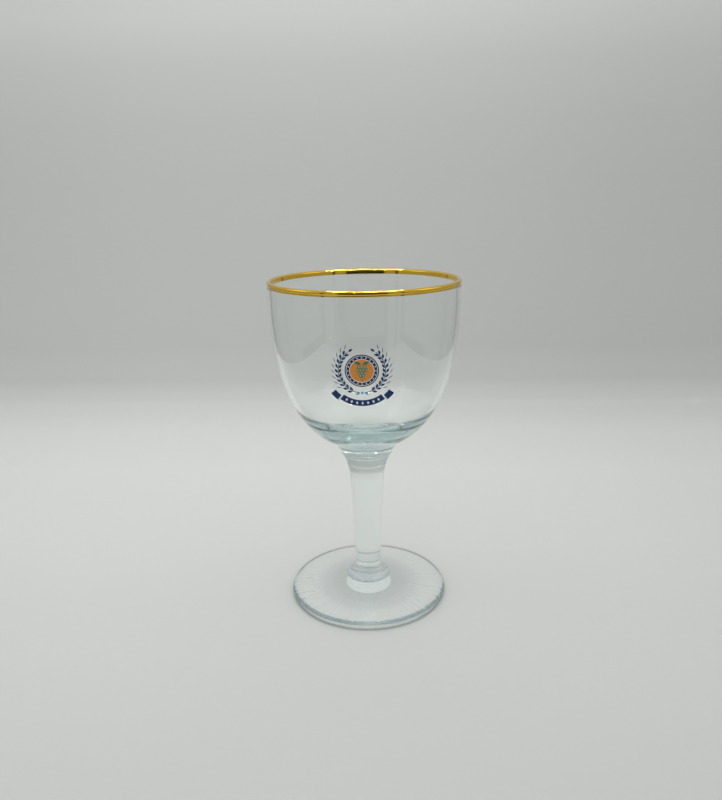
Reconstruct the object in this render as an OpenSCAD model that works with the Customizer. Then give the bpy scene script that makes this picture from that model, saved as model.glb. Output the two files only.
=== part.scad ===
// Chalice beer glass: a bowl, a stem and a foot of clear glass, welded one on the other, with a gold band
// fired on the lip and an enamel print on the front of the bowl.
// The origin is the middle of the foot, on the surface that the glass stands on. The print faces -Y.

/* [Foot] */
// Outside radius of the foot
foot_r = 43.8; // [38:0.1:52]
// Height of the foot's rounded edge
foot_t = 4.6; // [3.6:0.1:6]
// Rise of the foot's sloping top from its edge to the hub
foot_rise = 4.9; // [3:0.1:6.5]
// Inner radius of the ring that the foot rests on
rest_r = 36.6; // [24:0.2:38]
// Height of the hollow under the middle of the foot
hollow_h = 2; // [0.5:0.1:3]
// Width of the rounding on the foot's upper edge
edge_w = 3.2; // [2:0.1:4.5]
// Radius of the rounding on the foot's lower edge
edge_low_r = 1.8; // [0.8:0.1:2.4]
// Radius of the hub
hub_r = 12.15; // [10.5:0.05:15]
// Height of the hub's shoulder above the foot's top
hub_h = 1.2; // [1:0.1:2.5]
// Rounding of the hub's shoulder
hub_round = 0.7; // [0.3:0.1:0.9]
// Largest fillet between the hub and the foot's top
hub_fillet = 0.4; // [0.1:0.05:0.6]
// Height of the hub's hollowed top, from its shoulder to the weld of the stem
hub_top_h = 4.6; // [3:0.1:7]

/* [Stem] */
// Length of the stem between its two welds
stem_h = 62.9; // [45:0.1:95]
// Radius of the stem at its lower weld
stem_foot_r = 6.85; // [6:0.05:8.5]
// Radius of the stem where its flare begins
stem_neck_r = 9.4; // [8:0.05:10.5]
// Radius of the stem at its upper weld
stem_top_r = 11; // [10:0.1:12.5]
// Height of the flare under the bowl
flare_h = 8.2; // [5:0.1:16]
// Rounding of the edges at the upper weld
stem_round = 0.2; // [0.1:0.05:0.5]
// How far the hub stands out past the stem at their weld
weld_step = 0.45; // [0.1:0.05:0.8]

/* [Bowl] */
// Outside radius of the wall below the lip
bowl_r = 49.55; // [42:0.05:58]
// Thickness of the wall below the lip
wall_t = 2.2; // [1.6:0.05:3]
// Height of the bowl from its weld to the lip
bowl_h = 99.6; // [85:0.2:120]
// Height of the upright band under the lip
lip_h = 4.1; // [3:0.1:8]
// How far the bead on the lip stands proud of the wall
bead_proud = 0.2; // [0.05:0.05:0.3]
// Height of the collar between the weld and the boss
collar_h = 5.2; // [3.5:0.1:8]
// Radius of the collar's upper edge
collar_r = 12.9; // [11.5:0.1:13.2]
// Rounding of the collar's upper edge
collar_round = 0.5; // [0.2:0.05:0.9]
// Radius of the boss at its lower edge
boss_r = 13.9; // [13:0.1:16]
// Rounding of the boss's lower edge
boss_round = 1; // [0.4:0.1:1.6]
// Radius at which the boss has run out into the bowl
boss_top_r = 20; // [17.5:0.1:24]
// Height of the boss below the bottom of the bowl's curve
boss_h = 4.5; // [3:0.1:8]
// Thickness of the floor above the bottom of the bowl's curve
floor_t = 11; // [5:0.1:14]
// Radius at which the floor has thinned out to the wall
floor_r = 38; // [34:0.2:46]
// How fast the floor thins out
floor_fade = 1.5; // [1.2:0.1:3]
// Fullness of the bowl's curve, from an ellipse at 2 to a squarer bowl
bowl_fullness = 2.4; // [2:0.05:3]

/* [Gold] */
// Thickness of the gold film
gold_t = 0.15; // [0.1:0.01:0.25]
// Height of the gold outside the lip
gold_out_h = 2.3; // [2.1:0.1:2.9]
// Height of the gold inside the lip
gold_in_h = 2.8; // [1.5:0.1:2.9]

/* [Print] */
// Distance from the lip down to the middle of the print
print_drop = 39.4; // [34:0.2:46]
// Thickness of one layer of enamel
ink_t = 0.04; // [0.02:0.01:0.06]
// Clearance under each layer of enamel
ink_gap = 0.02; // [0.015:0.005:0.03]
// Height of the medallion's centre above the middle of the print
medal_y = 2.5; // [0:0.1:5]
// Outside radius of the medallion
medal_r = 8; // [7.4:0.1:8.6]
// Width of the black line round the medallion
line_w = 0.5; // [0.3:0.05:0.8]
// Bare glass between the medallion's rings
ring_gap = 0.3; // [0.2:0.05:0.4]
// Width of the navy band in the medallion
band_w = 1.3; // [0.9:0.05:1.5]
// Radius of the white dots on the navy band
dot_r = 0.32; // [0.2:0.02:0.4]
// Length of one scale of the hop cone
scale_l = 1.8; // [1.4:0.05:1.9]
// Width of one scale of the hop cone
scale_w = 1.3; // [0.9:0.05:1.4]
// Distance between the scales of one row
scale_pitch = 1.45; // [1.42:0.01:1.6]
// Distance between the rows of scales
scale_row_h = 1.4; // [1.3:0.05:1.45]
// Length of a hop leaf
leaf_l = 3.4; // [2.6:0.1:3.6]
// Width of a hop leaf
leaf_w = 1.5; // [1:0.1:1.6]
// Radius of the curve that the barley ears follow
wreath_r = 11.1; // [10.9:0.1:11.6]
// Length of a barley grain
grain_l = 2.4; // [1.9:0.1:2.5]
// Width of a barley grain
grain_w = 1.1; // [0.7:0.05:1.15]
// Length of a barley awn
awn_l = 2.8; // [1.5:0.1:4]
// Width of a barley stalk
stalk_w = 0.34; // [0.24:0.02:0.4]
// Width of the ribbon under the wreath
ribbon_w = 3.2; // [2.4:0.1:3.8]
// Radius of the ribbon's curve
ribbon_r = 16.6; // [16.2:0.1:18]

/* [Hidden] */
$fn = 128;

// Steps along a short arc and along a long curve
arc_steps = 8;
curve_steps = 26;

// Heights of the welds and of the lip
foot_top_z = foot_t + foot_rise;
shoulder_z = foot_top_z + hub_h;
stem_z = shoulder_z + hub_top_h;
weld_z = stem_z + stem_h;
lip_z = weld_z + bowl_h;

// Where the collar ends, where the bowl's curve begins, and how far down that curve goes
ridge_z = weld_z + collar_h;
curve_z = lip_z - lip_h;
curve_h = curve_z - ridge_z - boss_h;

// The bead is as wide as the wall and what stands proud of it
bead_out_r = bowl_r + bead_proud;
bead_in_r = bowl_r - wall_t;
bead_r = (bead_out_r - bead_in_r) / 2;
bead_mid = [bead_out_r - bead_r, lip_z - bead_r];

// Where the control points of the free curves lie between their ends
flare_r_share = 0.09;
flare_z_share = 0.4;
collar_r_share = 0.45;
collar_z_share = 0.5;
boss_r_share = 0.4;
hub_r_share = 0.75;
hub_z_share = 0.35;

// Angles at which roundings stop short of a quarter turn, where a slope takes over
edge_turn = 73;
hub_turn = 80;
flare_turn = 20;
ridge_turn = 80;
boss_turn = 80;
boss_top_turn = 10;

// Points on an arc, and on a curve with one control point
function arc(centre, r, from, to, steps) =
    [for (i = [0:steps]) let (a = from + (to - from) * i / steps) centre + r * [cos(a), sin(a)]];
function curve(a, b, c, steps) =
    [for (i = [0:steps]) let (t = i / steps) a * pow(1 - t, 2) + b * 2 * t * (1 - t) + c * pow(t, 2)];
function turned(points) = [for (i = [len(points) - 1:-1:0]) points[i]];

// The bowl's curve: its point at an angle, its angle and height at a radius, radius at a height, slope
function oval_point(angle, r, h) =
    [r * pow(cos(angle), 2 / bowl_fullness), curve_z - h * pow(sin(angle), 2 / bowl_fullness)];
function oval_angle(x, r) = acos(pow(x / r, bowl_fullness / 2));
function oval_z(x, r, h) = curve_z - h * pow(1 - pow(x / r, bowl_fullness), 1 / bowl_fullness);
function oval_r(z, r, h) =
    z >= curve_z ? r : r * pow(1 - pow((curve_z - z) / h, bowl_fullness), 1 / bowl_fullness);
function oval_slope(x, r, h) =
    h / r * pow(x / r, bowl_fullness - 1) * pow(1 - pow(x / r, bowl_fullness), 1 / bowl_fullness - 1);
function oval(from, to, r, h) =
    [for (i = [0:curve_steps]) oval_point(from + (to - from) * i / curve_steps, r, h)];

// The bowl's inside: its wall thickness at a radius, and its point square to the outside at an angle
function wall_at(x) = wall_t + (floor_t - wall_t) * pow(max(1 - pow(x / floor_r, 2), 0), floor_fade);
function out_of(p) =
    [pow(p.x / bowl_r, bowl_fullness - 1) / bowl_r,
     -pow((curve_z - p.y) / curve_h, bowl_fullness - 1) / curve_h];
function inside_point(angle) =
    let (p = oval_point(angle, bowl_r, curve_h), out = out_of(p)) p - wall_at(p.x) * out / norm(out);

// Half outlines of the three pieces of glass, from the axis below to the axis above
edge_h_share = 0.9;
edge_h = (foot_t - edge_low_r) * edge_h_share;
fillet_r = min(hub_fillet, hub_h - hub_round);
foot_outline = concat(
    [for (i = [0:arc_steps]) let (t = i / arc_steps) [rest_r * t, hollow_h * (1 - pow(t, 2))]],
    arc([foot_r - edge_low_r, edge_low_r], edge_low_r, -90, 0, arc_steps),
    [for (p = arc([0, 0], 1, 0, edge_turn, arc_steps))
        [foot_r - edge_w + edge_w * p.x, foot_t - edge_h + edge_h * p.y]],
    arc([hub_r + fillet_r, foot_top_z + fillet_r], fillet_r, 270, 180, arc_steps),
    arc([hub_r - hub_round, shoulder_z - hub_round], hub_round, 0, hub_turn, arc_steps),
    curve([hub_r - hub_round, shoulder_z],
          [hub_r - hub_round + (stem_foot_r + weld_step - hub_r + hub_round) * hub_r_share,
           shoulder_z + hub_top_h * hub_z_share],
          [stem_foot_r + weld_step, stem_z], arc_steps),
    [[0, stem_z]]);

stem_outline = concat(
    [[0, stem_z], [stem_foot_r, stem_z]],
    curve([stem_neck_r, weld_z - flare_h],
          [stem_neck_r + (stem_top_r - stem_neck_r) * flare_r_share,
           weld_z - flare_h + (flare_h - stem_round) * flare_z_share],
          [stem_top_r, weld_z - stem_round], arc_steps),
    arc([stem_top_r - stem_round, weld_z - stem_round], stem_round, flare_turn, 90, arc_steps),
    [[0, weld_z]]);

boss_corner_r = boss_r + (boss_top_r - boss_r) * boss_r_share;
boss_top_z = oval_z(boss_top_r, bowl_r, curve_h);
boss_corner_z = boss_top_z - (boss_top_r - boss_corner_r) * oval_slope(boss_top_r, bowl_r, curve_h);
boss_curve = curve([boss_r, ridge_z + boss_round], [boss_corner_r, boss_corner_z], [boss_top_r, boss_top_z],
                   arc_steps);
collar_curve = curve([stem_top_r, weld_z + stem_round],
                     [stem_top_r + (collar_r - stem_top_r) * collar_r_share,
                      weld_z + collar_h * collar_z_share],
                     [collar_r, ridge_z - collar_round], arc_steps);

// The bead's arc, moved outward by a lift, from where it leaves the wall to the inside of the lip
function bead_line(lift) =
    arc(bead_mid, bead_r + lift, -acos((bowl_r + lift - bead_mid.x) / (bead_r + lift)), 180, 2 * arc_steps);
bowl_outline = concat(
    [[0, weld_z]],
    arc([stem_top_r - stem_round, weld_z + stem_round], stem_round, 270, 360 - flare_turn, arc_steps),
    collar_curve,
    arc([collar_r - collar_round, ridge_z - collar_round], collar_round, flare_turn, ridge_turn, arc_steps),
    arc([boss_r - boss_round, ridge_z + boss_round], boss_round,
        360 - boss_turn, 360 - boss_top_turn, arc_steps),
    boss_curve,
    [for (i = [1:curve_steps]) oval(oval_angle(boss_top_r, bowl_r), 0, bowl_r, curve_h)[i]],
    bead_line(0),
    [for (i = [0:curve_steps]) inside_point(90 * i / curve_steps)]);

// The line of the lip under the gold, moved outward by a lift
function lip_line(lift) = concat(
    [[bowl_r + lift, lip_z - gold_out_h]],
    bead_line(lift),
    [[bead_in_r - lift, lip_z - gold_in_h]]);

// A flat point of the print laid on the wall: x runs round the bowl, y upward from the print's middle
print_z = lip_z - print_drop;
function on_wall(point, lift) =
    let (z = print_z + point.y, r = oval_r(z, bowl_r, curve_h), a = point.x / r * 180 / PI)
    [(r + lift) * sin(a), -(r + lift) * cos(a), z];

// Rows of print points, each from the left to the right of the way that the rows run
tip_share = 0.1;
round_steps = 48;
leaf_steps = 6;
disc_columns = 6;
dot_columns = 2;
disc_from = 4;
function leaf_rows(base, angle, l, w) =
    [for (i = [0:leaf_steps])
        let (t = i / leaf_steps,
             half = w / 2 * max(tip_share, sin(180 * t)),
             mid = base + l * t * [cos(angle), sin(angle)])
        [for (side = [1, -1]) mid + side * half * [-sin(angle), cos(angle)]]];
function disc_rows(centre, r, columns) =
    [for (i = [0:2 * columns])
        let (a = disc_from + (180 - 2 * disc_from) * i / (2 * columns))
        [for (j = [0:columns]) centre + r * [(2 * j / columns - 1) * sin(a), -cos(a)]]];
function band_rows(centre, r_in, r_out, from, to, steps) =
    [for (i = [0:steps])
        let (a = from + (to - from) * i / steps)
        [for (r = [r_in, (r_in + r_out) / 2, r_out]) centre + r * [cos(a), sin(a)]]];
function ring_rows(centre, r_in, r_out) =
    band_rows(centre, r_in, r_out, 0, 360 - 360 / round_steps, round_steps - 1);
function mirrored(rows) = [for (row = rows) [for (p = turned(row)) [-p.x, p.y]]];

// One closed film of enamel over rows of print points, or over rows that close into a ring
module film(rows, layer, ring = false) {
    n = len(rows);
    m = len(rows[0]);
    low = ink_gap + layer * (ink_gap + ink_t);
    back = n * m;
    last = ring ? n - 1 : n - 2;
    points = concat([for (row = rows) for (p = row) on_wall(p, low + ink_t)],
                    [for (row = rows) for (p = row) on_wall(p, low)]);
    skin = [for (i = [0:last]) for (j = [0:m - 2])
        let (a = i * m + j, b = (i + 1) % n * m + j)
        each [[a, b, b + 1], [a, b + 1, a + 1]]];
    sides = [for (i = [0:last])
        let (a = i * m, b = (i + 1) % n * m, c = a + m - 1, d = b + m - 1)
        each [[b, a, a + back], [b, a + back, b + back], [c, d, d + back], [c, d + back, c + back]]];
    ends = ring ? [] : [for (j = [0:m - 2])
        let (a = j, b = (n - 1) * m + j)
        each [[a, a + 1, a + 1 + back], [a, a + 1 + back, a + back],
              [b + 1, b, b + back], [b + 1, b + back, b + 1 + back]]];
    under = [for (f = skin) [f[2] + back, f[1] + back, f[0] + back]];
    polyhedron(points, concat(skin, under, sides, ends));
}

// A film and its mirror image on the other side of the print's middle line
module film_pair(rows, layer) {
    film(rows, layer);
    film(mirrored(rows), layer);
}

// The medallion's radii, from the outside inward
medal = [0, medal_y];
band_out_r = medal_r - line_w - ring_gap;
band_in_r = band_out_r - band_w;
disc_r = band_in_r - ring_gap;
dots = 20;

// The right-hand barley ear: where its stalk starts, its first and last grains, how far grains lean out
stalk_from = -84;
ear_from = -66;
ear_to = 54;
ear_pairs = 10;
grain_lean = 27;
ear_pitch = (ear_to - ear_from) / ear_pairs;
function ear_point(angle, side) = medal + (wreath_r + side * stalk_w) * [cos(angle), sin(angle)];
function grain_tip(angle) =
    ear_point(angle, 1) + (grain_l + ring_gap) * [cos(angle + 90 - grain_lean), sin(angle + 90 - grain_lean)];

// The hop cone: scales in each row from the top, and where its top lies in the disc
cone_rows = [3, 4, 3, 2, 1];
cone_top = medal + [0, scale_row_h * 2];
leaf_lean = 24;
bow_r = stalk_w * 2;

// The ribbon: half of its spread, the spread of its tails and how far they drop
ribbon_half = 36;
tail_from = 38.5;
tail_to = 52;
tail_drop = ribbon_w / 3;
fold_turn = 1;
lozenges = 7;

module foot() {
    color("gainsboro") rotate_extrude() polygon(foot_outline);
}

module stem() {
    color("gainsboro") rotate_extrude() polygon(stem_outline);
}

module bowl() {
    color("gainsboro") rotate_extrude() polygon(bowl_outline);
}

module gold_rim() {
    color("goldenrod") rotate_extrude() polygon(concat(lip_line(gold_t), turned(lip_line(0))));
}

module print_navy() {
    color("navy") {
        film(ring_rows(medal, band_in_r, band_out_r), 0, true);
        film_pair(band_rows(medal, wreath_r - stalk_w / 2, wreath_r + stalk_w / 2,
                            stalk_from, ear_to, 2 * leaf_steps), 0);
        for (i = [0:ear_pairs - 1], side = [-1, 1]) {
            angle = ear_from + i * ear_pitch;
            film_pair(leaf_rows(ear_point(angle, side), angle + 90 - side * grain_lean, grain_l, grain_w), 0);
        }
        film_pair(leaf_rows(ear_point(ear_to + ear_pitch / 4, 0), ear_to + 90, grain_l, grain_w), 0);
        for (i = [1:ear_pairs - 1]) {
            angle = ear_from + i * ear_pitch;
            film_pair(leaf_rows(grain_tip(angle), angle + 90 - grain_lean, awn_l, stalk_w), 0);
        }
        film(band_rows(medal, ribbon_r - ribbon_w / 2, ribbon_r + ribbon_w / 2,
                       270 - ribbon_half, 270 + ribbon_half, 2 * arc_steps), 0);
        film_pair(band_rows(medal, ribbon_r + tail_drop - ribbon_w / 2, ribbon_r + tail_drop + ribbon_w / 2,
                            270 + tail_from, 270 + tail_to, leaf_steps), 0);
    }
}

module print_black() {
    color("black") {
        film(ring_rows(medal, medal_r - line_w, medal_r), 0, true);
        film_pair(band_rows(medal, ribbon_r + ribbon_w / 2 - tail_drop, ribbon_r + ribbon_w / 2 + tail_drop,
                            270 + ribbon_half + fold_turn, 270 + tail_from - fold_turn, leaf_steps), 0);
    }
}

module print_orange() {
    color("darkorange") film(disc_rows(medal, disc_r, disc_columns), 0);
}

module print_green() {
    color("seagreen") {
        for (row = [0:len(cone_rows) - 1], i = [0:cone_rows[row] - 1])
            film(leaf_rows(cone_top + [(i - (cone_rows[row] - 1) / 2) * scale_pitch, -row * scale_row_h],
                           270, scale_l, scale_w), 1);
        film_pair(leaf_rows(cone_top + [stalk_w, stalk_w], leaf_lean, leaf_l, leaf_w), 1);
    }
}

module print_blue() {
    color("steelblue") {
        film(disc_rows(medal - [0, wreath_r], bow_r, dot_columns), 0);
        film_pair(leaf_rows(medal + [bow_r + ring_gap, -wreath_r], -leaf_lean, grain_l, grain_w), 0);
    }
}

module print_white() {
    color("white") {
        for (i = [0:dots - 1]) {
            turn = 360 * i / dots;
            film(disc_rows(medal + (band_in_r + band_w / 2) * [cos(turn), sin(turn)], dot_r, dot_columns), 1);
        }
        for (row = [0:len(cone_rows) - 1], i = [0:cone_rows[row] - 1])
            film(leaf_rows(cone_top + [(i - (cone_rows[row] - 1) / 2) * scale_pitch,
                                       -row * scale_row_h - scale_l / 4], 270, scale_l / 2, stalk_w), 2);
        for (i = [0:lozenges - 1]) {
            angle = 270 + ribbon_half * (2 * (i + 1) / (lozenges + 1) - 1);
            start = medal + (ribbon_r - ribbon_w / 4) * [cos(angle), sin(angle)];
            film(leaf_rows(start, angle, ribbon_w / 2, grain_w), 1);
        }
    }
}

foot();
stem();
bowl();
gold_rim();
print_navy();
print_black();
print_orange();
print_green();
print_blue();
print_white();
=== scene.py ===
import math

import bmesh
import bpy
from mathutils import Matrix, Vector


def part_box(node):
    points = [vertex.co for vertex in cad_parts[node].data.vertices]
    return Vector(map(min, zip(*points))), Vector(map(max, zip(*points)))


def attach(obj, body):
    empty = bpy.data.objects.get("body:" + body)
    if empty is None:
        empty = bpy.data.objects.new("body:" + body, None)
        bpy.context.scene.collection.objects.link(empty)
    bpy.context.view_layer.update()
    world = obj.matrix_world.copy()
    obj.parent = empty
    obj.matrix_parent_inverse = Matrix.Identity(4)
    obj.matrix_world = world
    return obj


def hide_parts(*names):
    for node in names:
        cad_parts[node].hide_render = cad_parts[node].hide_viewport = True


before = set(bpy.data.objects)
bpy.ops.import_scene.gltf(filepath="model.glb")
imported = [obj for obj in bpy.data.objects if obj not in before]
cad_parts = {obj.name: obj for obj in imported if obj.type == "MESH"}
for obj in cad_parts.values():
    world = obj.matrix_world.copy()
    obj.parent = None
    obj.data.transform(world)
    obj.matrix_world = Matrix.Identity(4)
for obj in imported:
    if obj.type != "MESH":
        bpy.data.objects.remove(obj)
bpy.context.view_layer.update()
scene = bpy.context.scene
scene.view_settings.view_transform = "Standard"
scene.cycles.max_bounces = 64  # light crosses many walls of glass before it gets out
scene.cycles.transmission_bounces = 64
scene.cycles.glossy_bounces = 48
scene.cycles.transparent_max_bounces = 32
scene.cycles.sample_clamp_indirect = 60.0  # lets the small lamps sparkle
scene.cycles.caustics_refractive = False
scene.cycles.caustics_reflective = False
mm = 0.001
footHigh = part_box("foot")[1]
stemLow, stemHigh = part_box("stem")
bowlLow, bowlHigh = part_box("bowl")


def between(a, b, share):
    return a + (b - a) * share


# outlines are (distance from the axis, height) pairs, and angles are in degrees
def ovalArc(x, z, wide, high, start, end, steps):
    turns = [math.radians(between(start, end, i / steps)) for i in range(steps + 1)]
    return [(x + wide * math.cos(a), z + high * math.sin(a)) for a in turns]


def roundArc(x, z, radius, start, end, steps):
    return ovalArc(x, z, radius, radius, start, end, steps)


def bendCurve(a, b, c, steps):
    points = []
    for i in range(steps + 1):
        t = i / steps
        points.append(tuple(p * (1 - t) ** 2 + q * 2 * t * (1 - t) + r * t * t for p, q, r in zip(a, b, c)))
    return points


# a quarter oval whose sides are fuller than an ellipse's
def fullCurve(radius, height, topZ, fullness, start, end, steps):
    points = []
    for i in range(steps + 1):
        a = math.radians(between(start, end, i / steps))
        across = max(math.cos(a), 0.0) ** (2 / fullness)
        down = max(math.sin(a), 0.0) ** (2 / fullness)
        points.append((radius * across, topZ - height * down))
    return points


spinning = dict(merge=0.001 * mm, flush=0.01 * mm, crease=40)


def linkPiece(name, bm):
    mesh = bpy.data.meshes.new(name)
    bm.to_mesh(mesh)
    bm.free()
    piece = bpy.data.objects.new(name, mesh)
    scene.collection.objects.link(piece)
    return piece


# marks what the glass looks up on each face: its welds, its shaded rim and its clear lower edge
def markFaces(bm, welds, shadeFrom, clearEdge):
    weldLayer = bm.faces.layers.float.new("weld")
    rimLayer = bm.faces.layers.float.new("rim")
    openLayer = bm.faces.layers.float.new("open")
    for face in bm.faces:
        face.smooth = True
        middle = face.calc_center_median()
        away = middle.xy.length
        if shadeFrom and away > shadeFrom:
            face[rimLayer] = 1.0
        if clearEdge and middle.z < clearEdge["below"] and away > clearEdge["beyond"]:
            face[openLayer] = clearEdge["share"]
        for height, radius in welds:
            if abs(middle.z - height) < spinning["flush"] and away < radius:
                face[weldLayer] = 1.0


def spinOutline(name, outline, steps, welds=(), shadeFrom=None, clearEdge=None):
    bm = bmesh.new()
    verts = [bm.verts.new((x, 0, z)) for x, z in outline]
    edges = [bm.edges.new(pair) for pair in zip(verts, verts[1:])]
    bmesh.ops.spin(bm, geom=verts + edges, cent=(0, 0, 0), axis=(0, 0, 1),
                   angle=math.tau, steps=steps, use_merge=True)
    bmesh.ops.remove_doubles(bm, verts=bm.verts, dist=spinning["merge"])
    bmesh.ops.recalc_face_normals(bm, faces=bm.faces)
    markFaces(bm, welds, shadeFrom, clearEdge)
    for edge in bm.edges:
        if len(edge.link_faces) == 2 and edge.calc_face_angle() > math.radians(spinning["crease"]):
            edge.smooth = False
    return linkPiece(name, bm)


def dress(piece, material, node):
    piece.data.materials.append(material)
    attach(piece, "root")
    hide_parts(node)
    print("made", piece.name, len(piece.data.polygons), "faces")


# small helpers for materials
def newMaterial(name):
    material = bpy.data.materials.new(name)
    material.use_nodes = True
    return material, material.node_tree.nodes, material.node_tree.links


def addNode(nodes, kind, inputs=None, **values):
    node = nodes.new(kind)
    for key, value in values.items():
        setattr(node, key, value)
    for socket, value in (inputs or {}).items():
        node.inputs[socket].default_value = value
    return node


def addMath(nodes, links, operation, first, second):
    node = addNode(nodes, "ShaderNodeMath", operation=operation)
    for value, socket in zip((first, second), node.inputs):
        if isinstance(value, float):
            socket.default_value = value
        else:
            links.new(value, socket)
    return node.outputs[0]


def addRange(nodes, links, value, start, end, low=0.0, high=1.0):
    limits = {"From Min": start, "From Max": end, "To Min": low, "To Max": high}
    node = addNode(nodes, "ShaderNodeMapRange", limits)
    links.new(value, node.inputs["Value"])
    return node.outputs[0]


def addRamp(nodes, links, value, stops, tone, interpolation="LINEAR"):
    ramp = addNode(nodes, "ShaderNodeValToRGB")
    ramp.color_ramp.interpolation = interpolation
    points = ramp.color_ramp.elements
    while len(points) < len(stops):
        points.new(0.5)
    for point, (position, shade) in zip(points, stops):
        point.position = position
        point.color = (*(shade * part for part in tone), 1)
    links.new(value, ramp.inputs[0])
    return ramp.outputs[0]


def multiplyTones(nodes, links, first, second):
    mix = addNode(nodes, "ShaderNodeMix", data_type="RGBA", blend_type="MULTIPLY")
    mix.inputs["Factor"].default_value = 1.0
    links.new(first, mix.inputs["A"])
    links.new(second, mix.inputs["B"])
    return mix.outputs["Result"]


def mixShaders(nodes, links, share, first, second):
    mix = addNode(nodes, "ShaderNodeMixShader")
    for value, socket in zip((share, first, second), mix.inputs):
        links.new(value, socket)
    return mix.outputs[0]


def placeParts(nodes, links):
    place = addNode(nodes, "ShaderNodeTexCoord")
    apart = addNode(nodes, "ShaderNodeSeparateXYZ")
    links.new(place.outputs["Object"], apart.inputs[0])
    return apart.outputs


# the place flattened to the ground, and its distance from the axis
def flatPlace(nodes, links):
    place = addNode(nodes, "ShaderNodeTexCoord")
    flat = addNode(nodes, "ShaderNodeVectorMath", {1: (1, 1, 0)}, operation="MULTIPLY")
    links.new(place.outputs["Object"], flat.inputs[0])
    length = addNode(nodes, "ShaderNodeVectorMath", operation="LENGTH")
    links.new(flat.outputs[0], length.inputs[0])
    return flat.outputs[0], length.outputs["Value"]


def newGroup(name, takes, gives):
    group = bpy.data.node_groups.new(name, "ShaderNodeTree")
    for socket in takes:
        group.interface.new_socket(socket, in_out="INPUT", socket_type="NodeSocketFloat")
    group.interface.new_socket(gives, in_out="OUTPUT", socket_type="NodeSocketFloat")
    given, result = group.nodes.new("NodeGroupInput"), group.nodes.new("NodeGroupOutput")
    return group, group.nodes, group.links, given.outputs, result.inputs


# soft mottling between two levels
mottleNoise = dict(detail=4.0, low=0.3, high=0.7)


def mottleGroup():
    group, nodes, links, given, result = newGroup("mottle", ("Scale", "Low", "High"), "Level")
    place = addNode(nodes, "ShaderNodeTexCoord")
    noise = addNode(nodes, "ShaderNodeTexNoise", {"Detail": mottleNoise["detail"]})
    limits = {"From Min": mottleNoise["low"], "From Max": mottleNoise["high"]}
    level = addNode(nodes, "ShaderNodeMapRange", limits)
    links.new(place.outputs["Object"], noise.inputs["Vector"])
    links.new(given["Scale"], noise.inputs["Scale"])
    links.new(noise.outputs["Fac"], level.inputs["Value"])
    links.new(given["Low"], level.inputs["To Min"])
    links.new(given["High"], level.inputs["To Max"])
    links.new(level.outputs[0], result["Level"])
    return group


# fine lines from the axis outward, as a mould leaves on a pressed foot
rayNoise = dict(scale=26.0, detail=2.0)


def rayGroup():
    group, nodes, links, given, result = newGroup("mouldRays", ("Inner", "Outer"), "Height")
    flat, length = flatPlace(nodes, links)
    aim = addNode(nodes, "ShaderNodeVectorMath", operation="NORMALIZE")
    noise = addNode(nodes, "ShaderNodeTexNoise", {"Scale": rayNoise["scale"], "Detail": rayNoise["detail"]})
    fadeIn = addNode(nodes, "ShaderNodeMapRange", interpolation_type="SMOOTHSTEP")
    links.new(flat, aim.inputs[0])
    links.new(aim.outputs[0], noise.inputs["Vector"])
    links.new(length, fadeIn.inputs["Value"])
    links.new(given["Inner"], fadeIn.inputs["From Min"])
    links.new(given["Outer"], fadeIn.inputs["From Max"])
    links.new(addMath(nodes, links, "MULTIPLY", noise.outputs["Fac"], fadeIn.outputs[0]), result["Height"])
    return group


mottle = mottleGroup()
mouldRays = rayGroup()


def addMottle(nodes, scale, low, high):
    node = addNode(nodes, "ShaderNodeGroup", node_tree=mottle)
    for socket, value in zip(node.inputs, (scale, low, high)):
        socket.default_value = value
    return node.outputs[0]


# glass
glassLook = dict(ior=1.52, clear=(0.985, 0.985, 0.985, 1.0), edge=(0.42, 0.46, 0.46, 1.0), edgePower=2.0)
blownLook = dict(tint=(0.993, 1.0, 0.996, 1.0), shade=(0.05, 0.55, 0.60, 1.0), density=7.0)
drawnLook = dict(tint=(0.992, 1.0, 0.996, 1.0), shade=(0.10, 0.60, 0.61, 1.0), density=2.8)
pressedLook = dict(tint=(1.0, 1.0, 1.0, 1.0), shade=(0.0, 0.38, 0.50, 1.0), density=3.8,
                   rays=0.13 * mm, rayInner=16 * mm, rayOuter=34 * mm)


# welds are clear to every ray, the foot's lower edge only to the camera's
def skinAlpha(nodes, links, path):
    weld = addNode(nodes, "ShaderNodeAttribute", attribute_name="weld")
    lowerEdge = addNode(nodes, "ShaderNodeAttribute", attribute_name="open")
    seen = addMath(nodes, links, "MULTIPLY", lowerEdge.outputs["Fac"], path.outputs["Is Camera Ray"])
    gone = addMath(nodes, links, "MAXIMUM", weld.outputs["Fac"], seen)
    return addMath(nodes, links, "SUBTRACT", 1.0, gone)


def rayBump(nodes, links, look):
    rays = addNode(nodes, "ShaderNodeGroup", node_tree=mouldRays)
    rays.inputs["Inner"].default_value = look["rayInner"]
    rays.inputs["Outer"].default_value = look["rayOuter"]
    bump = addNode(nodes, "ShaderNodeBump", {"Distance": look["rays"]})
    links.new(rays.outputs[0], bump.inputs["Height"])
    return bump.outputs[0]


# steep walls and the foot's rim dim the light that goes straight through
def shadowTint(nodes, links, path):
    facing = addNode(nodes, "ShaderNodeLayerWeight")
    steep = addMath(nodes, links, "POWER", facing.outputs["Facing"], glassLook["edgePower"])
    lit = addMath(nodes, links, "MULTIPLY", steep, path.outputs["Is Shadow Ray"])
    rim = addNode(nodes, "ShaderNodeAttribute", attribute_name="rim")
    ends = {"A": glassLook["clear"], "B": glassLook["edge"]}
    tint = addNode(nodes, "ShaderNodeMix", ends, data_type="RGBA")
    links.new(addMath(nodes, links, "MAXIMUM", lit, rim.outputs["Fac"]), tint.inputs["Factor"])
    return tint.outputs["Result"]


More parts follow.
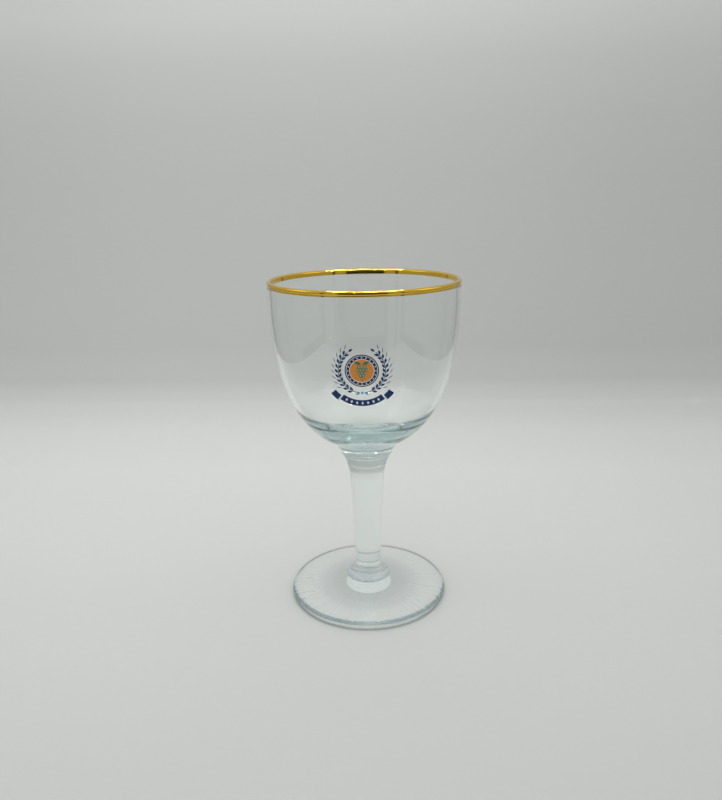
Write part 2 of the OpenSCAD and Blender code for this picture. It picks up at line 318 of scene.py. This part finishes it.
def clearGlass(name, look):
    material, nodes, links = newMaterial(name)
    shader, output = nodes["Principled BSDF"], nodes["Material Output"]
    shader.inputs["Base Color"].default_value = look["tint"]
    shader.inputs["Roughness"].default_value = 0.0
    shader.inputs["IOR"].default_value = glassLook["ior"]
    shader.inputs["Transmission Weight"].default_value = 1.0
    path = addNode(nodes, "ShaderNodeLightPath")
    links.new(skinAlpha(nodes, links, path), shader.inputs["Alpha"])
    if "rays" in look:
        links.new(rayBump(nodes, links, look), shader.inputs["Normal"])
    body = {"Color": look["shade"], "Density": look["density"]}
    absorb = addNode(nodes, "ShaderNodeVolumeAbsorption", body)
    links.new(absorb.outputs[0], output.inputs["Volume"])
    clear = addNode(nodes, "ShaderNodeBsdfTransparent")
    links.new(shadowTint(nodes, links, path), clear.inputs["Color"])
    shadowRay, diffuseRay = path.outputs["Is Shadow Ray"], path.outputs["Is Diffuse Ray"]
    straight = addMath(nodes, links, "MAXIMUM", shadowRay, diffuseRay)
    surface = mixShaders(nodes, links, straight, shader.outputs[0], clear.outputs[0])
    links.new(surface, output.inputs["Surface"])
    return material


# gold
goldLook = dict(color=(0.84, 0.54, 0.065, 1.0), low=0.0, high=0.02, scale=900.0)


def firedGold():
    material, nodes, links = newMaterial("firedGold")
    shader = nodes["Principled BSDF"]
    shader.inputs["Base Color"].default_value = goldLook["color"]
    shader.inputs["Metallic"].default_value = 1.0
    burnish = addMottle(nodes, goldLook["scale"], goldLook["low"], goldLook["high"])
    links.new(burnish, shader.inputs["Roughness"])
    return material


# enamel
enamelLook = dict(gloss=0.25, scale=1500.0, low=0.88, high=1.12,
                  sheenScale=700.0, sheenLow=0.22, sheenHigh=0.36)


def enamel(name, color):
    material, nodes, links = newMaterial(name)
    shader = nodes["Principled BSDF"]
    shader.inputs["Specular IOR Level"].default_value = enamelLook["gloss"]
    ink = addNode(nodes, "ShaderNodeVectorMath", {0: color}, operation="SCALE")
    cover = addMottle(nodes, enamelLook["scale"], enamelLook["low"], enamelLook["high"])
    links.new(cover, ink.inputs["Scale"])
    links.new(ink.outputs[0], shader.inputs["Base Color"])
    sheen = addMottle(nodes, enamelLook["sheenScale"], enamelLook["sheenLow"], enamelLook["sheenHigh"])
    links.new(sheen, shader.inputs["Roughness"])
    return material


blownGlass = clearGlass("blownGlass", blownLook)
drawnGlass = clearGlass("drawnGlass", drawnLook)
pressedGlass = clearGlass("pressedGlass", pressedLook)
gold = firedGold()
print("mixed the glass and the gold")

# foot: its hollow, resting ring, rounded edge, slope, hub and weld
foot = dict(edge=4.6 * mm, rise=4.9 * mm, rest=38.4 * mm, hollow=2.0 * mm,
            edgeWide=3.2 * mm, edgeHigh=2.5 * mm, edgeLow=1.8 * mm, edgeEnd=73,
            hub=12.15 * mm, hubHeight=0.5 * mm, hubRound=1.2 * mm, hubEnd=75, hubFull=0.75,
            hubFillet=0.4 * mm, hubTop=7.3 * mm, topRound=0.2 * mm, topEnd=85,
            shade=1.0 * mm, openHigh=2.9 * mm, openWide=6.0 * mm, open=0.85,
            steps=dict(turn=256, hollow=24, edgeLow=14, edge=30, fillet=20, shoulder=14, hub=20, top=8))


def makeFoot():
    s, n = foot, foot["steps"]
    radius, weld = footHigh.x, footHigh.z
    topZ, roundZ = s["edge"] + s["rise"], weld - s["topRound"]
    outline = []
    for i in range(n["hollow"] + 1):
        share = i / n["hollow"]
        outline.append((s["rest"] * share, s["hollow"] * (1 - share ** 2)))
    outline += roundArc(radius - s["edgeLow"], s["edgeLow"], s["edgeLow"], -90, 0, n["edgeLow"])
    outline += ovalArc(radius - s["edgeWide"], s["edge"] - s["edgeHigh"], s["edgeWide"], s["edgeHigh"],
                       0, s["edgeEnd"], n["edge"])
    outline += roundArc(s["hub"] + s["hubFillet"], topZ + s["hubFillet"], s["hubFillet"],
                        270, 180, n["fillet"])
    outline += roundArc(s["hub"] - s["hubRound"], topZ + s["hubHeight"], s["hubRound"],
                        0, s["hubEnd"], n["shoulder"])
    start, end = outline[-1], (s["hubTop"], roundZ)
    bulge = (between(end[0], start[0], s["hubFull"]), between(start[1], end[1], s["hubFull"]))
    outline += bendCurve(start, bulge, end, n["hub"])[1:]
    outline += roundArc(s["hubTop"] - s["topRound"], roundZ, s["topRound"], 0, s["topEnd"], n["top"])[1:]
    outline += [(stem["footRadius"], weld), (0, weld)]
    clearEdge = dict(below=s["openHigh"], beyond=radius - s["openWide"], share=s["open"])
    piece = spinOutline("footGlass", outline, n["turn"], [(weld, stem["footRadius"])],
                        radius - s["shade"], clearEdge)
    dress(piece, pressedGlass, "foot")


# stem: tapered, flared at its top, a hair short of its neighbours at both welds
stem = dict(footRadius=6.85 * mm, neck=9.4 * mm, top=11.0 * mm, flare=8.2 * mm, flareOut=0.09, flareUp=0.4,
            round=0.2 * mm, roundFrom=20, weldGap=0.02 * mm,
            steps=dict(turn=192, taper=12, flare=24, round=10))


def makeStem():
    s, n = stem, stem["steps"]
    low, high = stemLow.z + s["weldGap"], stemHigh.z - s["weldGap"]
    neckZ, roundZ = high - s["flare"], high - s["round"]
    outline = [(0, low)]
    for i in range(n["taper"]):
        share = i / n["taper"]
        outline.append((between(s["footRadius"], s["neck"], share), between(low, neckZ, share)))
    bulge = (between(s["neck"], s["top"], s["flareOut"]), between(neckZ, roundZ, s["flareUp"]))
    outline += bendCurve((s["neck"], neckZ), bulge, (s["top"], roundZ), n["flare"])
    outline += roundArc(s["top"] - s["round"], roundZ, s["round"], s["roundFrom"], 90, n["round"])
    outline += [(0, high)]
    welds = [(low, s["footRadius"]), (high, s["top"] - s["round"])]
    piece = spinOutline("stemGlass", outline, n["turn"], welds)
    dress(piece, drawnGlass, "stem")


# bowl: collar, boss, full curve, beaded lip and a floor that thickens to the middle
bowl = dict(radius=49.55 * mm, wall=2.2 * mm, lip=4.1 * mm, fullness=2.4,
            floor=11.0 * mm, fade=38 * mm, spread=1.5,
            boss=13.9 * mm, bossTop=20 * mm, bossDrop=4.5 * mm, bossBend=0.4,
            bossRound=1.0 * mm, bossArc=(280, 350),
            collar=5.2 * mm, collarTop=12.9 * mm, collarBend=0.45,
            collarRound=0.5 * mm, collarArc=(20, 80),
            steps=dict(turn=256, weld=10, collar=12, collarRound=8, bossRound=12, boss=20,
                       outside=80, bead=40, inside=120))


# the bead's middle and radius, which the gold follows too
def lipBead():
    inside = bowl["radius"] - bowl["wall"]
    beadRadius = (bowlHigh.x - inside) / 2
    return inside + beadRadius, beadRadius


# where the round bead meets the wall's outside
def beadLeave(wallRadius, middle, beadRadius):
    return math.degrees(math.acos((wallRadius - middle) / beadRadius))


def bowlFoot(low, ridge):
    s, n = bowl, bowl["steps"]
    weldRadius, roundZ = stem["top"] - stem["round"], low + stem["round"]
    collarZ = ridge - s["collarRound"]
    outline = [(0, low), (weldRadius, low)]
    outline += roundArc(weldRadius, roundZ, stem["round"], 270, 360 - stem["roundFrom"], n["weld"])
    bulge = (between(stem["top"], s["collarTop"], s["collarBend"]), (low + collarZ) / 2)
    outline += bendCurve((stem["top"], roundZ), bulge, (s["collarTop"], collarZ), n["collar"])
    outline += roundArc(s["collarTop"] - s["collarRound"], collarZ, s["collarRound"],
                        *s["collarArc"], n["collarRound"])
    outline += roundArc(s["boss"] - s["bossRound"], ridge + s["bossRound"], s["bossRound"],
                        *s["bossArc"], n["bossRound"])
    return outline


# the inside lies square to the outside's curve
def bowlInside(outHeight, curveZ):
    s, power = bowl, bowl["fullness"] - 1
    outline = []
    for x, z in fullCurve(s["radius"], outHeight, curveZ, s["fullness"], 0, 90, s["steps"]["inside"]):
        across = (x / s["radius"]) ** power / s["radius"]
        down = ((curveZ - z) / outHeight) ** power / outHeight
        size = math.hypot(across, down)
        thick = between(s["wall"], s["floor"], max(1 - (x / s["fade"]) ** 2, 0.0) ** s["spread"])
        outline.append((max(x - across / size * thick, 0.0), z + down / size * thick))
    outline[-1] = (0, outline[-1][1])
    return outline


def makeBowl():
    s, n = bowl, bowl["steps"]
    low, high, power = bowlLow.z, bowlHigh.z, s["fullness"]
    curveZ, ridge = high - s["lip"], low + s["collar"]
    outHeight = curveZ - ridge - s["bossDrop"]
    share = s["bossTop"] / s["radius"]
    rest = 1 - share ** power
    bossTopZ = curveZ - outHeight * rest ** (1 / power)
    slope = outHeight / s["radius"] * share ** (power - 1) * rest ** (1 / power - 1)
    cornerX = between(s["boss"], s["bossTop"], s["bossBend"])
    corner = (cornerX, bossTopZ - (s["bossTop"] - cornerX) * slope)
    outline = bowlFoot(low, ridge)
    outline += bendCurve((s["boss"], ridge + s["bossRound"]), corner, (s["bossTop"], bossTopZ), n["boss"])
    start = math.degrees(math.acos(share ** (power / 2)))
    outline += fullCurve(s["radius"], outHeight, curveZ, power, start, 0, n["outside"])[1:]
    middle, beadRadius = lipBead()
    leave = beadLeave(s["radius"], middle, beadRadius)
    outline += roundArc(middle, high - beadRadius, beadRadius, -leave, 180, n["bead"])
    outline += bowlInside(outHeight, curveZ)
    piece = spinOutline("bowlGlass", outline, n["turn"], [(low, stem["top"] - stem["round"])])
    dress(piece, blownGlass, "bowl")


# gold band, a film over the bead and a little way down the wall on both sides
goldBand = dict(film=0.03 * mm, lift=0.01 * mm, outside=2.3 * mm, inside=2.8 * mm, turn=256, bead=40)


def makeGoldRim():
    s = goldBand
    middle, beadRadius = lipBead()
    high = bowlHigh.z
    skins = []
    for lift in (s["lift"] + s["film"], s["lift"]):
        wallOutside, wallInside = bowl["radius"] + lift, middle - beadRadius - lift
        leave = beadLeave(wallOutside, middle, beadRadius + lift)
        skin = [(wallOutside, high - s["outside"])]
        skin += roundArc(middle, high - beadRadius, beadRadius + lift, -leave, 180, s["bead"])
        skin += [(wallInside, high - s["inside"])]
        skins.append(skin)
    outline = skins[0] + skins[1][::-1] + skins[0][:1]
    piece = spinOutline("goldBand", outline, s["turn"])
    dress(piece, gold, "gold_rim")


makeFoot()
makeStem()
makeBowl()
makeGoldRim()

# the print keeps its modelled films and gets its enamels
inks = {"print_navy": (0.005, 0.035, 0.14),
        "print_black": (0.012, 0.012, 0.016),
        "print_orange": (0.72, 0.27, 0.05),
        "print_green": (0.04, 0.22, 0.12),
        "print_blue": (0.16, 0.40, 0.66),
        "print_white": (0.82, 0.82, 0.80)}
for node, color in inks.items():
    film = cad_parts[node]
    film.data.materials.clear()
    film.data.materials.append(enamel(node + "Enamel", color))
print("printed", len(inks), "enamels")

# floor and backdrop in one sweep, whose colour holds painted shade along the floor, up the wall and
# sideways, and outward from the axis a painted pool of light under the stem, for the light that is piped
# down it, with a painted shadow ring round it and a painted contact shadow near the foot's edge
sweep = dict(front=-3.0, back=0.41, height=1.2, width=8.0, bend=0.055, bendSteps=24, tilt=0.01,
             drop=0.03 * mm,  # keeps the floor clear of the foot
             roughness=0.9, gloss=0.1, tone=(1.0, 1.01, 0.995),
             floorReach=0.4, wallReach=0.5, paintedPoolReach=0.05,
             # painted shade from side to side: the paper is lighter on the left and darker on the right
             fallWide=0.25, fallLeft=1.055, fallRight=0.965,
             # painted shade along the floor: darker towards the camera and again close to the bend
             floorShadeStops=[(0.10, 0.68), (0.318, 0.715), (0.365, 0.735), (0.415, 0.755), (0.481, 0.772),
                         (0.57, 0.81), (0.649, 0.835), (0.7225, 0.865), (0.85, 0.865), (0.95, 0.815),
                         (1.0, 0.815)],
             # painted shade up the wall: darkest a little above the floor, lighter towards the top
             wallShadeStops=[(0.0, 1.0), (0.008, 0.90), (0.04, 0.772), (0.11, 0.786), (0.214, 0.778),
                        (0.344, 0.77), (0.466, 0.767), (0.584, 0.785), (0.696, 0.838), (0.786, 0.94),
                        (1.0, 1.0)],
             # painted light and shade under the foot: a pool of light, a shadow ring, a lighter ring, a
             # contact shadow
             paintedPoolShadowStops=[(0.0, 1.28), (0.23, 1.28), (0.26, 0.90), (0.36, 0.92), (0.48, 1.0),
                        (0.62, 1.13), (0.832, 1.17), (0.842, 0.72), (0.856, 0.72), (0.868, 1.0)])


def sweepPaper():
    s = sweep
    material, nodes, links = newMaterial("sweepPaper")
    shader = nodes["Principled BSDF"]
    shader.inputs["Roughness"].default_value = s["roughness"]
    shader.inputs["Specular IOR Level"].default_value = s["gloss"]
    place = placeParts(nodes, links)
    alongFloor = addRange(nodes, links, place["Y"], -s["floorReach"], s["floorReach"])
    upWall = addRange(nodes, links, place["Z"], 0.0, s["wallReach"])
    outward = addRange(nodes, links, flatPlace(nodes, links)[1], 0.0, s["paintedPoolReach"])
    # painted shade along the floor and up the wall
    paintedFloorShade = addRamp(nodes, links, alongFloor, s["floorShadeStops"], s["tone"])
    paintedWallShade = addRamp(nodes, links, upWall, s["wallShadeStops"], s["tone"])
    # painted pool of light and painted shadows, by distance from the axis
    paintedPoolShadow = addRamp(nodes, links, outward, s["paintedPoolShadowStops"], (1, 1, 1), "EASE")
    paintedShading = multiplyTones(nodes, links, multiplyTones(nodes, links, paintedFloorShade, paintedWallShade), paintedPoolShadow)
    # painted shade from left to right
    paintedFalloff = addNode(nodes, "ShaderNodeVectorMath", operation="SCALE")
    sidewaysShade = addRange(nodes, links, place["X"], -s["fallWide"], s["fallWide"],
                        s["fallLeft"], s["fallRight"])
    links.new(paintedShading, paintedFalloff.inputs[0])
    links.new(sidewaysShade, paintedFalloff.inputs["Scale"])
    links.new(paintedFalloff.outputs[0], shader.inputs["Base Color"])
    clear = addNode(nodes, "ShaderNodeBsdfTransparent")  # from behind, the paper lets light in
    side = addNode(nodes, "ShaderNodeNewGeometry")
    paper = mixShaders(nodes, links, side.outputs["Backfacing"], shader.outputs[0], clear.outputs[0])
    links.new(paper, nodes["Material Output"].inputs["Surface"])
    return material


def makeSweep():
    s = sweep
    bm = bmesh.new()
    outline = [(s["front"], 0)]
    outline += roundArc(s["back"] - s["bend"], s["bend"], s["bend"], 270, 360, s["bendSteps"])
    outline += [(s["back"], s["height"])]
    verts = [bm.verts.new((-s["width"] / 2, y, z - s["drop"])) for y, z in outline]
    edges = [bm.edges.new(pair) for pair in zip(verts, verts[1:])]
    across = bmesh.ops.extrude_edge_only(bm, edges=edges)["geom"]
    farVerts = [v for v in across if isinstance(v, bmesh.types.BMVert)]
    bmesh.ops.translate(bm, verts=farVerts, vec=(s["width"], 0, 0))
    for face in bm.faces:
        face.smooth = True
        if face.normal.z < -s["tilt"] or face.normal.y > s["tilt"]:
            face.normal_flip()
    piece = linkPiece("sweep", bm)
    piece.data.materials.append(sweepPaper())
    print("laid the sweep")


makeSweep()

# the soft box round the table: cloth walls with dark seams, bright patches and the dark opening in front
softBox = dict(half=0.35, front=-0.34, back=0.40, top=0.64, openHalf=0.172, openLow=0.0, openHigh=0.46,
               barLow=0.20, barHigh=0.235, cardGap=0.002, seam=0.036, backSeam=0.024,
               ledge=0.03, ledgeLong=0.26, patch=(-0.13, 0.07, 0.32, 0.54),
               wall=(0.62, 0.625, 0.61), low=0.52, high=1.0,
               plain=(1, 1, 1), dark=0.008, bar=0.22, glow=1.15,
               inGlass=0.6, crossings=(2.0, 3.0))  # the opening is paler past two faces of glass


# needsBounce hides the glow from rays that were never reflected
def glowMaterial(name, color, low, high, needsBounce=True, crossings=None):
    material, nodes, links = newMaterial(name)
    nodes.remove(nodes["Principled BSDF"])
    path = addNode(nodes, "ShaderNodeLightPath")
    if crossings:
        level = addRange(nodes, links, path.outputs["Transmission Depth"], *crossings, low, high)
    else:
        level = addRange(nodes, links, placeParts(nodes, links)["Z"], 0.0, softBox["top"], low, high)
    glow = addNode(nodes, "ShaderNodeEmission", {"Color": (*color, 1)})
    links.new(level, glow.inputs["Strength"])
    surface = glow.outputs[0]
    if needsBounce:
        clear = addNode(nodes, "ShaderNodeBsdfTransparent")
        surface = mixShaders(nodes, links, path.outputs["Glossy Depth"], clear.outputs[0], surface)
    links.new(surface, nodes["Material Output"].inputs["Surface"])
    return material


def hideFrom(piece):
    piece.visible_camera = False
    piece.visible_diffuse = False
    piece.visible_shadow = False
    piece.visible_volume_scatter = False


def addQuad(bm, corners, index):
    face = bm.faces.new([bm.verts.new(c) for c in corners])
    face.material_index = index


def frontQuad(bm, y, left, right, low, high, index):
    addQuad(bm, [(left, y, low), (right, y, low), (right, y, high), (left, y, high)], index)


def sideQuad(bm, x, near, far, low, high, index):
    addQuad(bm, [(x, near, low), (x, far, low), (x, far, high), (x, near, high)], index)


def makeSoftBox():
    s = softBox
    bm = bmesh.new()
    half, front, back, top, gap = s["half"], s["front"], s["back"], s["top"], s["openHalf"]
    cloth, room, bar, bright, seam = range(5)
    for x in (-half, half):
        sideQuad(bm, x, front, back, 0, top, cloth)
    addQuad(bm, [(-half, front, top), (half, front, top), (half, back, top), (-half, back, top)], cloth)
    frontQuad(bm, front, -half, -gap, 0, top, cloth)
    frontQuad(bm, front, gap, half, 0, top, cloth)
    frontQuad(bm, front, -gap, gap, s["openHigh"], top, cloth)
    frontQuad(bm, front, -gap, gap, s["openLow"], s["barLow"], room)
    frontQuad(bm, front, -gap, gap, s["barHigh"], s["openHigh"], room)
    frontQuad(bm, front, -gap, gap, s["barLow"], s["barHigh"], bar)
    inside = half - s["cardGap"]
    for x in (-inside, inside - s["seam"]):
        frontQuad(bm, front + s["cardGap"], x, x + s["seam"], 0, top, seam)
    for x in (-inside, inside):
        sideQuad(bm, x, back - s["backSeam"], back, 0, top, seam)
        for low in (0, top - s["ledge"]):
            sideQuad(bm, x, front, front + s["ledgeLong"], low, low + s["ledge"], seam)
        sideQuad(bm, x, *s["patch"], bright)
    piece = linkPiece("softBox", bm)
    for material in (glowMaterial("softBoxCloth", s["wall"], s["low"], s["high"]),
                     glowMaterial("darkRoom", s["plain"], s["dark"], s["inGlass"], crossings=s["crossings"]),
                     glowMaterial("paleBar", s["plain"], s["bar"], s["bar"]),
                     glowMaterial("brightCloth", s["plain"], s["glow"], s["glow"]),
                     glowMaterial("darkSeam", s["plain"], s["dark"], s["dark"])):
        piece.data.materials.append(material)
    hideFrom(piece)
    print("hung the soft box")


# rows of small lamps round the soft box's top
lampRows = dict(half=0.15, front=-0.17, back=0.13, height=0.60, pitch=0.012, radius=0.0028, sides=10,
                color=(1.0, 0.99, 0.95), strength=300.0)


def makeLampRows():
    s = lampRows
    bm = bmesh.new()
    places = []
    across = round(2 * s["half"] / s["pitch"])
    along = round((s["back"] - s["front"]) / s["pitch"])
    for i in range(across + 1):
        x = between(-s["half"], s["half"], i / across)
        places += [(x, s["front"]), (x, s["back"])]
    for i in range(1, along):
        y = between(s["front"], s["back"], i / along)
        places += [(-s["half"], y), (s["half"], y)]
    for x, y in places:
        bmesh.ops.create_circle(bm, cap_ends=True, radius=s["radius"], segments=s["sides"],
                                matrix=Matrix.Translation((x, y, s["height"])))
    piece = linkPiece("lampRows", bm)
    piece.data.materials.append(glowMaterial("lampGlow", s["color"], s["strength"], s["strength"], False))
    hideFrom(piece)
    print("hung", len(places), "small lamps")


makeSoftBox()
makeLampRows()

# the light that falls on everything
lamp = dict(width=0.5, depth=0.45, place=(0.0, -0.02, 0.62), power=1.0, world=0.62)


def makeLamps():
    s = lamp
    light = bpy.data.lights.new("ceiling", "AREA")
    light.shape = "RECTANGLE"
    light.size, light.size_y = s["width"], s["depth"]
    light.energy = s["power"]
    piece = bpy.data.objects.new("ceiling", light)
    piece.location = s["place"]
    piece.visible_glossy = False
    piece.visible_transmission = False
    scene.collection.objects.link(piece)
    world = bpy.data.worlds.new("pale")
    scene.world = world
    world.use_nodes = True
    world.node_tree.nodes["Background"].inputs["Color"].default_value = (s["world"],) * 3 + (1,)
    print("lit the table")


makeLamps()

# camera, in metres and degrees, with the focal length in pixels of the picture's height
camera = dict(distance=0.36096, height=0.2195, pitch=16.438, roll=1.008, yaw=0.414, around=2.0,
              focal=700.0, pixels=800, nearest=0.01)


def makeCamera():
    s = camera
    data = bpy.data.cameras.new("camera")
    data.sensor_fit = "VERTICAL"
    data.lens = data.sensor_height * s["focal"] / s["pixels"]
    data.clip_start = s["nearest"]
    piece = bpy.data.objects.new("camera", data)
    scene.collection.objects.link(piece)
    around = math.radians(s["around"])
    x, y = s["distance"] * math.sin(around), -s["distance"] * math.cos(around)
    place = Matrix.Translation((x, y, s["height"]))
    turn = Matrix.Rotation(around + math.radians(s["yaw"]), 4, "Z")
    tilt = Matrix.Rotation(math.radians(90 - s["pitch"]), 4, "X")
    roll = Matrix.Rotation(-math.radians(s["roll"]), 4, "Z")
    piece.matrix_world = place @ turn @ tilt @ roll
    scene.camera = piece
    print("placed the camera")


makeCamera()
